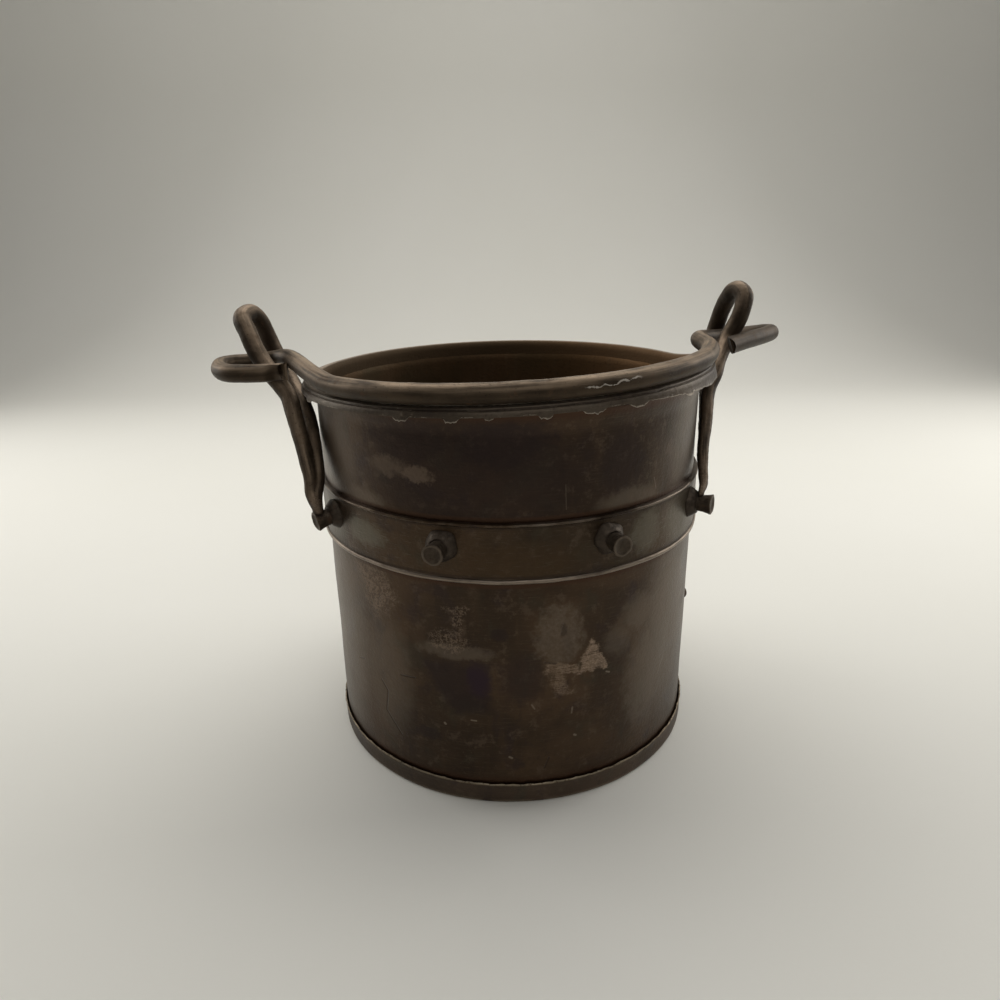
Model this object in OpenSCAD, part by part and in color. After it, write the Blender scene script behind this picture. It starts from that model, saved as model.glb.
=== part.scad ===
// Old sheet-metal bucket with a bent rod for a rim, two forged hanging ears, and a studded belly hoop.
// Millimetres. The origin is the centre of the underside, +Z is up, and the bucket faces -Y.
// Azimuths are degrees round the bucket from its front (-Y) towards its right (+X).

/* [Body] */
// Outside diameter of the sheet wall
body_d = 248.8; // [180:1:320]
// Height of the wall's top edge above the floor
body_h = 246.5; // [200:1:320]
// How far the wall's mouth flares out
flare_out = 3; // [1:0.5:4]
// Height of the flared mouth
flare_h = 11; // [6:1:20]
// Thickness of the body sheet
sheet_t = 1.2; // [0.8:0.1:2.5]
// Slack between curved sheets that lie on each other
sheet_gap = 0.1; // [0.05:0.05:0.3]

/* [Base pan] */
// Thickness of the base pan's sheet
pan_t = 1.4; // [0.8:0.1:2.5]
// Height of the pan's turned-up edge
pan_h = 14.5; // [8:0.5:30]
// Rounding of the pan's bottom corner
pan_round = 1.3; // [0.4:0.1:2]

/* [Belly hoop] */
// Height of the hoop's lower edge above the floor
hoop_z = 150.6; // [120:0.5:170]
// Width of the hoop, from edge to edge
hoop_w = 35.4; // [28:0.5:50]
// Thickness of the hoop's flat
hoop_t = 2.2; // [1:0.1:4]
// Thickness of the thick rolled bead along the hoop's lower edge
low_bead_d = 2.8; // [2:0.1:4]
// Thickness of the thin bead along the hoop's upper edge
top_bead_d = 1.9; // [1:0.1:3]

/* [Studs] */
// Diameter of a stud's shank
stud_d = 10; // [6:0.5:14]
// How far a stud stands out from the hoop's flat
stud_reach = 14.3; // [10:0.5:24]
// Slack round a shank in its hole
stud_slack = 0.15; // [0.05:0.05:0.4]
// Diameter of a stud's flat head inside the bucket
stud_head_d = 15; // [12:0.5:20]
// Thickness of a stud's flat head inside the bucket
stud_head_t = 2.2; // [1:0.1:4]
// Depth of the hollow in a stud's hammered end
stud_dimple = 0.8; // [0.3:0.1:2]
// Diameter of a collar where it sits on the hoop
collar_d = 18.5; // [15:0.5:24]
// Thickness of a collar's narrow end round its stud
collar_edge = 0.85; // [0.4:0.05:4]
// Height of a collar
collar_h = 5; // [3:0.5:8]

/* [Rim] */
// Diameter of the bent rods
rod_d = 11.6; // [8:0.2:14]
// Height of the rim rod's axis over the wall's edge, at the front of the bucket
rod_lift = 11.7; // [9:0.1:40]
// Rise of the rim rod from left to right, in millimetres for each metre
rod_rise = 33; // [0:1:50]
// Thickness of the folded strip over the wall's edge
strip_t = 1; // [0.6:0.1:1.6]
// Outside radius of the strip's fold
strip_r = 5.9; // [4.5:0.1:7]
// Gap between the strip and what rests on it or in it
seat_gap = 0.3; // [0.1:0.1:0.5]

/* [Side rivet] */
// Diameter of the small rivet's domed head
rivet_d = 8; // [5:0.5:12]
// Height of the domed head
rivet_h = 3; // [1.5:0.1:4]
// Height of the rivet above the floor
rivet_z = 85; // [30:1:130]

/* [Hidden] */

wall_r = body_d / 2;
inner_r = wall_r - sheet_t;
hoop_r = wall_r + sheet_gap + hoop_t;
rod_z = body_h + rod_lift;
stud_z = hoop_z + 0.61 * hoop_w;
shank_r = stud_d / 2;
rod_r = rod_d / 2;
rim_r = wall_r + rod_r - seat_gap;
rivet_shank_d = 0.5 * rivet_d;
rivet_az = 84;
hole_reach = 4;

// Azimuth and droop of each stud: the marking-out was by eye, and the first is bent by the left ear's pull.
STUDS = [[-58, 10], [-18, 0], [25, 0], [62, 0], [110, 0], [158, 0], [206, 0], [254, 0]];
left_stud = STUDS[0];
right_stud = STUDS[3];

// The middle of each ear, where it straddles the rim rod's loop.
left_ear_az = -88;
right_ear_az = 95;

// Rod loops: [out from the wall, across towards the back, above the rim] at each bend, from the cut end.
LEFT_LOOP = [[16.5, -35.5, 1.3], [28.5, -36.5, 1.7], [41, -36.5, 2.1], [51, -33, 2.4], [57, -23.5, 2.7],
             [58.5, -12.5, 3.8], [54, -4, 3.7], [44.5, -1, 3.4], [32.5, -0.5, 4], [23, -2, 5.2],
             [16, -13, 6.4], [12, -25.5, 6.7], [8.5, -38.5, 5.5], [6.5, -53, 3.7], [6, -68, 1.9]];
RIGHT_LOOP = [[5, -46.5, 0.1], [4, -30, 0.3], [3, -10, 0.5], [8.5, 4.5, -0.5], [20.5, 15.5, -2.4],
              [34, 22.5, -3.3], [52.5, 30, -3.8], [65.5, 31, -3.3], [66.5, 22.5, -2.4], [58, 12, -2.1],
              [40, -5.5, -1.6], [25.5, -19, -1.6], [17, -28, -1.8]];
RIM_STEPS = [-48, -34, -20, -6, 8, 22, 36, 50, 62];

// Ear eyes: [across, out, above the rod at the front].
// Ear shanks: [share of the way up, across, out, thickness].
LEFT_FRONT_EYE = [[-2, 41, 29], [-9, 42.5, 26], [-14.5, 39, 18], [-17.5, 35.5, 9], [-19.5, 31.5, 1]];
LEFT_FRONT_SHANK = [[0.9, -17.5, 24.5, 11.2], [0.79, -16.5, 17.5, 10.8], [0.68, -16.5, 15.5, 10.4],
                    [0.58, -14.5, 14.5, 10], [0.47, -12.5, 13.5, 9.6], [0.36, -10, 13, 9.2],
                    [0.25, -7, 13, 8.4], [0.14, -2.5, 14, 7.6]];
LEFT_BACK_EYE = [[-2, 41, 29], [4.5, 39, 28], [9.5, 36.5, 22], [12.5, 35, 15], [14.5, 33, 7]];
LEFT_BACK_SHANK = [[0.96, 17.5, 29, 11.6], [0.83, 17.5, 20.5, 11.2], [0.73, 11, 13, 10.8],
                   [0.64, 2.5, 8, 10.4], [0.54, -3, 6, 10], [0.44, -5.5, 5.8, 9.2], [0.35, -6.5, 6.5, 8.8],
                   [0.24, -5, 8, 8], [0.14, -3, 11, 7.2]];
RIGHT_FRONT_EYE = [[8, 34, 35], [2, 35.5, 31], [0, 34, 23], [1.5, 32.5, 16], [2.5, 30.5, 11], [3, 26.5, 3]];
RIGHT_FRONT_SHANK = [[0.95, 1, 21, 10.4], [0.89, -2.5, 16.5, 9.2], [0.81, -4, 13, 8.8], [0.72, -3, 8.5, 8.8],
                     [0.63, -3, 6.5, 8.4], [0.51, -2.5, 6, 8], [0.4, -3, 5.5, 7.2], [0.31, -3.5, 5.5, 6.8],
                     [0.21, -2.5, 7, 6], [0.13, -3, 8.5, 5.6]];
RIGHT_BACK_EYE = [[8, 34, 35], [14, 31.5, 33.5], [20.5, 31.5, 29], [28, 31, 21], [33, 32.5, 12], [35, 33, 4]];
RIGHT_BACK_SHANK = [[0.95, 37, 30.5, 11.6], [0.85, 37, 25, 11.2], [0.75, 32.5, 19, 10.4], [0.66, 23.5, 12, 9.6],
                    [0.57, 13.5, 8, 9.2], [0.47, 6, 5.5, 8], [0.39, 0.5, 5, 7.2], [0.29, -1, 5, 6.8],
                    [0.19, -2, 7, 6], [0.12, -2.5, 8.5, 5.6]];
// Where each ear's drawn-out tip rests on its stud: distance out from the wall, and its thickness.
left_tip = [13.5, 6.4];
right_tip = [9, 4];

// Torn tabs that hang from the strip: [azimuth, width in degrees, length].
TABS = [[-25.5, 4.5, 2.6], [-13, 3.6, 2.8], [-4.8, 2.4, 2], [7.5, 3.6, 2.6], [18.7, 6.5, 2.8], [30, 6, 2.4],
        [-62, 5, 2.2], [48, 4, 1.6], [-120, 5, 1.8], [140, 6, 2], [-165, 4, 1.6]];
strip_back_top = body_h + 3.1;
strip_skirt_z = body_h - 7;
strip_steps = 120;
fold_steps = 5;

// A point beside the wall: out from its face, across from an azimuth towards the back, and at a height.
function side_of(az) = az < 0 ? -1 : 1;
function polar(r, az, z) = [r * sin(az), -r * cos(az), z];
function beside(az, across, out, z) =
    polar(wall_r + out, az + side_of(az) * asin(across / (wall_r + out)), z);
function rim_height(x) = rod_z + rod_rise * x / 1000;
function raised(p, lift) = [p.x, p.y, rim_height(p.x) + lift];
// The loops and the ears' gaps open with the rod's thickness, so that the rods still pass each other.
drawn_rod = 11.6;
spread = rod_d / drawn_rod;

// Catmull-Rom curve through hand-set points, which are [x, y, z, radius].
function blend(a, b, c, d, t) =
    0.5 * (2 * b + (c - a) * t + (2 * a - 5 * b + 4 * c - d) * t * t + (3 * b - a - 3 * c + d) * t * t * t);
function smooth_path(p, n) = let (m = len(p) - 1, q = concat([2 * p[0] - p[1]], p, [2 * p[m] - p[m - 1]]))
    concat([for (i = [1 : m], k = [0 : n - 1]) blend(q[i - 1], q[i], q[i + 1], q[i + 2], k / n)], [p[m]]);
function unit(v) = v / norm(v);
function place(q) = [q.x, q.y, q.z];
function heading(p, i) = unit(place(p[min(i + 1, len(p) - 1)]) - place(p[max(i - 1, 0)]));

// A round bar along a path. The guide is any direction that the bar never points along.
module bar(path, guide, sides) {
    rings = [for (i = [0 : len(path) - 1])
        let (t = heading(path, i), s = unit(cross(t, guide)), u = cross(t, s))
        for (k = [0 : sides - 1])
            place(path[i]) + path[i][3] * (cos(360 * k / sides) * s + sin(360 * k / sides) * u)];
    last = len(path) - 1;
    skin = [for (i = [0 : last - 1], k = [0 : sides - 1])
        let (a = i * sides + k, b = i * sides + (k + 1) % sides)
        each [[a, a + sides, b + sides], [a, b + sides, b]]];
    polyhedron(rings, concat(skin, [[for (k = [0 : sides - 1]) k]],
                             [[for (k = [sides - 1 : -1 : 0]) last * sides + k]]));
}

module at_azimuth(az, z) {
    translate([0, 0, z]) rotate([0, 0, az]) rotate([90, 0, 0]) children();
}

// Radial holes through the wall and the hoop, one for each stud.
module stud_holes(d) {
    for (s = STUDS) at_azimuth(s[0], stud_z) translate([0, 0, inner_r - hole_reach])
        cylinder(d = d, h = sheet_t + hoop_t + 2 * hole_reach, $fn = 48);
}

// Spun sheet pan: a flat bottom whose edge is turned up round the foot of the wall.
module base_pan() {
    r_in = wall_r + sheet_gap;
    r_out = r_in + pan_t;
    color([0.22, 0.15, 0.11]) rotate_extrude($fn = 160)
        polygon(concat([[0, 0]],
            [for (a = [-90 : 22.5 : 0]) [r_out - pan_round + pan_round * cos(a), pan_round + pan_round * sin(a)]],
            [[r_out, pan_h], [r_in, pan_h], [r_in, pan_t], [0, pan_t]]));
}

// Sheet wall, standing in the pan, flared at its mouth, and drilled for the studs and the small rivet.
module wall() {
    foot = pan_t + sheet_gap;
    color([0.25, 0.18, 0.13]) difference() {
        rotate_extrude($fn = 160)
            polygon([[inner_r, foot], [wall_r, foot], [wall_r, body_h - flare_h], [wall_r + flare_out, body_h],
                     [inner_r + flare_out, body_h], [inner_r, body_h - flare_h]]);
        stud_holes(stud_d + 2 * stud_slack);
        at_azimuth(rivet_az, rivet_z) translate([0, 0, inner_r - hole_reach])
            cylinder(d = rivet_shank_d + 2 * stud_slack, h = sheet_t + 2 * hole_reach, $fn = 32);
    }
}

// Riveted hoop round the belly: a flat strip with a bead rolled along each edge.
module belly_hoop() {
    r_in = wall_r + sheet_gap;
    top = hoop_z + hoop_w;
    bead_steps = [-90 : 30 : 90];
    low = [for (a = bead_steps) [hoop_r + low_bead_d / 2 * cos(a) - 0.3, hoop_z + low_bead_d / 2 * (1 + sin(a))]];
    high = [for (a = bead_steps) [hoop_r + top_bead_d / 2 * cos(a) - 0.3, top + top_bead_d / 2 * (sin(a) - 1)]];
    color([0.24, 0.19, 0.15]) difference() {
        rotate_extrude($fn = 160)
            polygon(concat([[r_in, hoop_z]], low, [[hoop_r, hoop_z + low_bead_d], [hoop_r, top - top_bead_d]],
                           high, [[r_in, top]]));
        stud_holes(stud_d + 2 * stud_slack);
    }
}

// Height of the strip's fold: it carries the rod in front, and lies level round the back.
function ease(t) = t * t * (3 - 2 * t);
function under_rod(az) = rim_height(rim_r * sin(az)) - rod_r - seat_gap
    - sheet_gap + strip_r - sqrt(strip_r * strip_r - pow(rim_r - strip_mid_r, 2));
function rod_share(az) = ease(min(1, max(0, (112 - abs(az)) / 34)));
function strip_top(az) = strip_back_top + (under_rod(az) - strip_back_top) * rod_share(az);
function tab_drop(az) = max([for (t = TABS) abs(az - t[0]) < t[1] / 2 ? t[2] : 0]);
function strip_edge(az) = strip_top(az) - strip_r
    + min(0.6, body_h - 0.1 + 3 * max(0, cos(1.4 * az)) - strip_top(az) + strip_r) - tab_drop(az)
    + 0.35 * sin(23 * az) - 0.25 * sin(51 * az);
strip_mid_r = inner_r - seat_gap - strip_t + strip_r;
function fold(r, az) = [for (k = [0 : fold_steps])
    [strip_mid_r + r * cos(180 * k / fold_steps), strip_top(az) - strip_r + r * sin(180 * k / fold_steps)]];
function reversed(v) = [for (k = [len(v) - 1 : -1 : 0]) v[k]];
function strip_section(az) = let (zc = strip_top(az) - strip_r, r2 = strip_r - strip_t) concat(
    [[strip_mid_r + strip_r, min(strip_edge(az), zc - 0.2)]], fold(strip_r, az),
    [[strip_mid_r - strip_r, strip_skirt_z], [strip_mid_r - r2, strip_skirt_z]],
    reversed(fold(r2, az)), [[strip_mid_r + r2, min(strip_edge(az), zc - 0.2)]]);

// Thin strip folded over the wall's edge, its outer edge torn into tabs.
module rim_strip() {
    n = strip_steps;
    m = len(strip_section(0));
    points = [for (i = [0 : n - 1]) let (az = -180 + 360 * i / n) for (p = strip_section(az)) polar(p[0], az, p[1])];
    faces = [for (i = [0 : n - 1], k = [0 : m - 1])
        let (a = i * m + k, b = i * m + (k + 1) % m, c = ((i + 1) % n) * m + (k + 1) % m, d = ((i + 1) % n) * m + k)
        each [[a, b, c], [a, c, d]]];
    color([0.36, 0.32, 0.29]) polyhedron(points, faces);
}

// One bent rod: a loop at the left, the front half of the rim, and a loop at the right.
module rim_rod() {
    left = [for (p = LEFT_LOOP) raised(beside(left_ear_az, p[1] * spread, p[0], 0), p[2])];
    front = [for (az = RIM_STEPS) raised(polar(rim_r, az, 0), 0)];
    right = [for (p = RIGHT_LOOP) raised(beside(right_ear_az, p[1] * spread, p[0], 0), p[2])];
    path = [for (p = concat(left, front, right)) [p.x, p.y, p.z, rod_r]];
    color([0.34, 0.29, 0.25]) bar(smooth_path(path, 3), [0, 0, 1], 12);
}

// Forged ear: a hairpin that hangs over the rod's loop, its two legs hammered down to a tip on a stud.
function eye_points(az, list) = [for (p = list) let (q = beside(az, p[0] * spread, p[1], rod_z + p[2]))
    [q.x, q.y, q.z, rod_r]];
function shank_points(ear_az, stud_az, list) = [for (p = list)
    let (q = beside(stud_az + (ear_az - stud_az) * p[0], p[1], p[2], stud_z + p[0] * (rod_z - stud_z)))
    [q.x, q.y, q.z, p[3] * spread / 2]];
function tip_point(stud, tip) = let (drop = (tip[0] - hoop_t - sheet_gap) * tan(stud[1]))
    concat(beside(stud[0], 0, tip[0], stud_z - drop + shank_r + seat_gap + tip[1] / 2), [tip[1] / 2]);
function ear_leg(ear_az, stud, tip, eye, shank) =
    concat(eye_points(ear_az, eye), shank_points(ear_az, stud[0], shank), [tip_point(stud, tip)]);

module ear(ear_az, stud, tip, front_eye, front_shank, back_eye, back_shank) {
    outwards = polar(1, ear_az, 0);
    color([0.3, 0.25, 0.21]) union() {
        bar(smooth_path(ear_leg(ear_az, stud, tip, front_eye, front_shank), 2), outwards, 12);
        bar(smooth_path(ear_leg(ear_az, stud, tip, back_eye, back_shank), 2), outwards, 12);
    }
}

module ear_left() {
    ear(left_ear_az, left_stud, left_tip, LEFT_FRONT_EYE, LEFT_FRONT_SHANK, LEFT_BACK_EYE, LEFT_BACK_SHANK);
}

module ear_right() {
    ear(right_ear_az, right_stud, right_tip, RIGHT_FRONT_EYE, RIGHT_FRONT_SHANK, RIGHT_BACK_EYE, RIGHT_BACK_SHANK);
}

// What stands on the hoop at one stud. It droops about the point where the shank leaves the hoop.
module on_hoop(s) {
    at_azimuth(s[0], stud_z) translate([0, 0, hoop_r]) rotate([s[1], 0, 0]) children();
}

// Headed stud: its flat head is inside the bucket, and its outer end is burred and hollowed by the hammer.
module stud(s) {
    lip = 1.2;
    color([0.27, 0.21, 0.17]) difference() {
        union() {
            at_azimuth(s[0], stud_z) {
                head_z = sqrt(pow(inner_r, 2) - pow(stud_head_d / 2, 2)) - sheet_gap;
                translate([0, 0, head_z - stud_head_t]) cylinder(d = stud_head_d, h = stud_head_t, $fn = 48);
                translate([0, 0, head_z - 0.5]) cylinder(d = stud_d, h = hoop_r - head_z + 0.5, $fn = 48);
            }
            on_hoop(s) {
                if (s[1] > 0) sphere(d = stud_d, $fn = 48);
                cylinder(d = stud_d, h = stud_reach, $fn = 48);
                translate([0, 0, stud_reach - lip]) cylinder(d = stud_d + 0.8, h = lip, $fn = 48);
            }
        }
        on_hoop(s) translate([0, 0, stud_reach - stud_dimple])
            cylinder(d1 = 0.45 * stud_d, d2 = 0.65 * stud_d, h = stud_dimple + 0.01, $fn = 48);
    }
}

// Cone-shaped collar under a stud's end, its base hollowed to the hoop.
module collar(s) {
    bore_r = shank_r + stud_slack;
    foot = 2;
    color([0.25, 0.2, 0.16]) difference() {
        on_hoop(s) rotate_extrude($fn = 64)
            polygon([[bore_r, -foot], [collar_d / 2, -foot], [collar_d / 2, 0], [bore_r + collar_edge, collar_h],
                     [bore_r, collar_h]]);
        translate([0, 0, hoop_z]) cylinder(r = hoop_r + sheet_gap, h = hoop_w, $fn = 160);
    }
}

// Small domed rivet low on the right-hand side, clenched inside.
module side_rivet() {
    dome_r = (pow(rivet_d / 2, 2) + pow(rivet_h, 2)) / (2 * rivet_h);
    tail_d = 0.8 * rivet_d;
    tail_t = 1.2;
    tail_z = sqrt(pow(inner_r, 2) - pow(tail_d / 2, 2)) - sheet_gap;
    color([0.3, 0.22, 0.16]) at_azimuth(rivet_az, rivet_z) {
        translate([0, 0, wall_r + sheet_gap]) intersection() {
            translate([0, 0, rivet_h - dome_r]) sphere(r = dome_r, $fn = 48);
            cylinder(d = rivet_d, h = rivet_h + 1, $fn = 48);
        }
        translate([0, 0, tail_z - tail_t]) cylinder(d = tail_d, h = tail_t, $fn = 32);
        translate([0, 0, tail_z - 0.5])
            cylinder(d = rivet_shank_d, h = wall_r + sheet_gap - tail_z + 1, $fn = 32);
    }
}

base_pan();
wall();
belly_hoop();
rim_strip();
rim_rod();
ear_left();
ear_right();
stud(STUDS[0]);  // stud_1
stud(STUDS[1]);  // stud_2
stud(STUDS[2]);  // stud_3
stud(STUDS[3]);  // stud_4
stud(STUDS[4]);  // stud_5
stud(STUDS[5]);  // stud_6
stud(STUDS[6]);  // stud_7
stud(STUDS[7]);  // stud_8
collar(STUDS[0]);  // collar_1
collar(STUDS[1]);  // collar_2
collar(STUDS[2]);  // collar_3
collar(STUDS[3]);  // collar_4
collar(STUDS[4]);  // collar_5
collar(STUDS[5]);  // collar_6
collar(STUDS[6]);  // collar_7
collar(STUDS[7]);  // collar_8
side_rivet();
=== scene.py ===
# An old sheet-metal bucket, browned and stained by long use: a spun pan, a straight wall, a studded belly
# hoop, a torn strip folded over the mouth, and one bent rod whose looped ends hang in two forged ears.
# Metres throughout. Azimuths are degrees round the bucket from its front (-Y) towards its right (+X).
import math

import bmesh
import bpy
from mathutils import Matrix, Vector, kdtree, noise


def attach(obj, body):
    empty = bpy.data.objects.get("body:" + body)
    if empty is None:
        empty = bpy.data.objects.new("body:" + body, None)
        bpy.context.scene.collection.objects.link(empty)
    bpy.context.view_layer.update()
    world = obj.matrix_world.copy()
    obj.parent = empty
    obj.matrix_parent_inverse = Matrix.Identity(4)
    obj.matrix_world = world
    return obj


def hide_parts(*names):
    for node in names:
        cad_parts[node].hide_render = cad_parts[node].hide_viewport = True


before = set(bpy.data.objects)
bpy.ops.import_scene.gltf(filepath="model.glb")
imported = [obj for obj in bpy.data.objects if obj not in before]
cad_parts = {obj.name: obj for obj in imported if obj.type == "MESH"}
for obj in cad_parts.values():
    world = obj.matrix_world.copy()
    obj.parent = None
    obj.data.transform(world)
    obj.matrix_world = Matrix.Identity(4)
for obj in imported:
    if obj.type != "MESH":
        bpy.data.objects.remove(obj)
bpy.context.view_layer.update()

# ---- The room ----
# A sheet of pale paper, laid flat under the bucket and swept up behind it, a lamp in a soft box over the back
# of it, two paler boxes at the sides, and the camera a pace in front, looking down into the mouth.


class Wire:
    """The value of one shader socket. Sums written on it add the Math nodes that they need."""

    def __init__(self, finish, socket):
        self.finish = finish
        self.socket = socket

    def other(self, output):
        return Wire(self.finish, self.socket.node.outputs[output])

    def maths(self, operation, *terms):
        return self.finish.node("ShaderNodeMath", {"operation": operation}, dict(enumerate(terms)))

    def __add__(self, term):
        return self.maths("ADD", self, term)

    def __radd__(self, term):
        return self.maths("ADD", term, self)

    def __sub__(self, term):
        return self.maths("SUBTRACT", self, term)

    def __rsub__(self, term):
        return self.maths("SUBTRACT", term, self)

    def __mul__(self, term):
        return self.maths("MULTIPLY", self, term)

    def __rmul__(self, term):
        return self.maths("MULTIPLY", term, self)

    def __truediv__(self, term):
        return self.maths("DIVIDE", self, term)

    def __pow__(self, term):
        return self.maths("POWER", self, term)

    def __abs__(self):
        return self.maths("ABSOLUTE", self)


class Finish:
    """A material under its making. node() adds one node: its settings first, then its sockets."""

    def __init__(self, name):
        self.material = bpy.data.materials.new(name)
        self.material.use_nodes = True
        self.tree = self.material.node_tree
        self.tree.nodes.clear()

    def node(self, kind, settings, sockets, output=0):
        made = self.tree.nodes.new(kind)
        for key, value in settings.items():
            setattr(made, key, value)
        for key, value in sockets.items():
            socket = made.inputs[key]
            if isinstance(value, Wire):
                self.tree.links.new(value.socket, socket)
            elif isinstance(value, tuple) and socket.type == "RGBA":
                socket.default_value = (*value, 1.0)
            else:
                socket.default_value = value
        return Wire(self, made.outputs[output]) if made.outputs else None

    def place(self):
        """Where the surface is, in millimetres, in the bucket's own frame."""
        at = self.node("ShaderNodeTexCoord", {}, {}, "Object")
        return self.node("ShaderNodeVectorMath", {"operation": "SCALE"}, {0: at, "Scale": 1000.0})

    def cloud(self, at, size, detail=3.0, rough=0.5, twist=0.0):
        """Soft noise between 0 and 1, with clouds of the given size in millimetres."""
        return self.node("ShaderNodeTexNoise", {}, {
            "Vector": at, "Scale": 1.0 / size, "Detail": detail, "Roughness": rough, "Distortion": twist})

    def rise(self, value, low, high):
        """0 below low, 1 above high, and a smooth step between. Low may be the greater of the two."""
        return self.node("ShaderNodeMapRange", {"interpolation_type": "SMOOTHSTEP"}, {
            "Value": value, "From Min": low, "From Max": high})

    def blend(self, share, first, second):
        """The second colour laid over the first by share."""
        return self.node("ShaderNodeMix", {"data_type": "RGBA"}, {0: share, 6: first, 7: second}, 2)

    def done(self, colour, roughness, metallic, height, depth, specular=0.5):
        """Closes the material with one surface shader, its skin raised by height times depth."""
        bump = self.node("ShaderNodeBump", {}, {"Strength": 1.0, "Distance": depth, "Height": height})
        shader = self.node("ShaderNodeBsdfPrincipled", {}, {
            "Base Color": colour, "Roughness": roughness, "Metallic": metallic, "Normal": bump,
            "Specular IOR Level": specular})
        self.node("ShaderNodeOutputMaterial", {}, {"Surface": shader})
        return self.material


def tone(red, green, blue):
    """A colour as it reads on a screen, 0 to 255, made linear."""
    return tuple(((c / 255 + 0.055) / 1.055) ** 2.4 if c > 10 else c / 3294.6 for c in (red, green, blue))


def object_from(name, bm, finish, crease=40.0):
    """The finished mesh as an object, smooth but for edges sharper than the crease angle."""
    mesh = bpy.data.meshes.new(name)
    bm.to_mesh(mesh)
    bm.free()
    mesh.polygons.foreach_set("use_smooth", [True] * len(mesh.polygons))
    mesh.set_sharp_from_angle(angle=math.radians(crease))
    mesh.materials.append(finish)
    made = bpy.data.objects.new(name, mesh)
    bpy.context.scene.collection.objects.link(made)
    return made


paper = Finish("pale_paper")
paper_at = paper.place()
paper_mottle = paper.cloud(paper_at, 420.0)
paper_white = paper.done(
    paper.blend(paper_mottle, tone(232, 230, 222), tone(237, 235, 229)),
    0.85, 0.0, paper.cloud(paper_at, 3.0), 0.00005, 0.2)

sheet = bmesh.new()
front_corners = [sheet.verts.new((x, -1.6, 0.0)) for x in (-3.0, 3.0)]
run = bmesh.ops.extrude_edge_only(sheet, edges=[sheet.edges.new(front_corners)])["geom"]
bmesh.ops.translate(sheet, vec=(0, 2.7, 0), verts=[v for v in run if isinstance(v, bmesh.types.BMVert)])
run_end = [e for e in run if isinstance(e, bmesh.types.BMEdge)]
sweep = bmesh.ops.spin(
    sheet, geom=run_end + list(run_end[0].verts), cent=(0, 1.1, 0.8), axis=(1, 0, 0),
    angle=math.radians(90), steps=24)["geom_last"]
rise_end = [e for e in sweep if isinstance(e, bmesh.types.BMEdge)]
rise = bmesh.ops.extrude_edge_only(sheet, edges=rise_end)["geom"]
bmesh.ops.translate(sheet, vec=(0, 0, 2.0), verts=[v for v in rise if isinstance(v, bmesh.types.BMVert)])
bmesh.ops.recalc_face_normals(sheet, faces=sheet.faces)
backdrop = object_from("paper_sheet", sheet, paper_white, 180.0)

world = bpy.data.worlds.new("room_air")
world.use_nodes = True
world.node_tree.nodes["Background"].inputs["Color"].default_value = (0.80, 0.79, 0.77, 1.0)
world.node_tree.nodes["Background"].inputs["Strength"].default_value = 0.15
bpy.context.scene.world = world

for name, at, aim, size, power in (
    ("lamp_over_back", (0.0, 0.50, 1.15), (0.0, 0.15, 0.0), (1.5, 0.9), 8.0),
    ("lamp_on_sweep", (0.0, 0.70, 1.70), (0.0, 1.75, 0.60), (2.0, 0.5), 6.0),
    ("lamp_left", (-1.2, 0.42, 0.65), (0.0, 0.0, 0.15), (0.8, 0.9), 5.6),
    ("lamp_right", (1.2, 0.42, 0.65), (0.0, 0.0, 0.15), (0.8, 0.9), 6.6),
    ("lamp_front", (0.2, -1.3, 1.2), (0.0, -0.45, 0.0), (1.4, 0.8), 4.3),
):
    light = bpy.data.lights.new(name, "AREA")
    light.shape = "RECTANGLE"
    light.size, light.size_y = size
    light.energy = power
    light.color = (1.0, 0.990, 0.955)
    lamp = bpy.data.objects.new(name, light)
    lamp.matrix_world = (Matrix.Translation(at)
                         @ (Vector(aim) - Vector(at)).to_track_quat("-Z", "Y").to_matrix().to_4x4())
    bpy.context.scene.collection.objects.link(lamp)

lens = bpy.data.cameras.new("camera")
lens.sensor_width = 36.0
lens.lens = 27.04
lens.clip_start = 0.01
camera = bpy.data.objects.new("camera", lens)
camera.matrix_world = (Matrix.Translation((-0.0066, -0.4994, 0.3354))
                       @ Matrix.Rotation(math.radians(90.0 - 19.93), 4, "X")
                       @ Matrix.Rotation(math.radians(-1.24), 4, "Z"))
bpy.context.scene.collection.objects.link(camera)
bpy.context.scene.camera = camera
bpy.context.scene.view_settings.view_transform = "Standard"

# ---- Base pan ----
# A shallow pan of the same browned sheet as the wall, spun over a former, its edge turned up round the wall's
# foot and soldered there long ago. The lip stands off a little now, and dirt has packed the gap.
WALL_R = 0.1244
PAN_R = 0.1259


def outward(at):
    """The unit vector that points straight out from the bucket's axis at a place."""
    return Vector((at.x, at.y, 0.0)).normalized()


def knock(at):
    """How far years of knocks have pushed the sheet in or out at a place."""
    skin = outward(at) * WALL_R + Vector((0.0, 0.0, at.z))
    depth = 0.0007 * noise.noise(skin * 11.0) + 0.00028 * noise.noise(skin * 31.0 + Vector((3, 7, 1)))
    turn = math.degrees(math.atan2(at.x, -at.y))
    # Each dent's azimuth and height, how far it spreads across and up, and its depth.
    for azimuth, height, wide, high, deep in (
        (-41.0, 0.052, 0.016, 0.030, 0.0007), (-18.0, 0.082, 0.022, 0.020, 0.0006),
        (6.0, 0.086, 0.012, 0.014, 0.0005), (30.0, 0.215, 0.016, 0.020, 0.0006),
        (52.0, 0.070, 0.018, 0.030, 0.0008), (-80.0, 0.085, 0.020, 0.022, 0.0007),
        (150.0, 0.110, 0.040, 0.034, 0.0016), (-135.0, 0.060, 0.034, 0.028, 0.0013),
    ):
        across = math.radians((turn - azimuth + 180.0) % 360.0 - 180.0) * WALL_R
        depth -= deep * math.exp(-(across / wide) ** 2 - ((at.z - height) / high) ** 2)
    return depth


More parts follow.
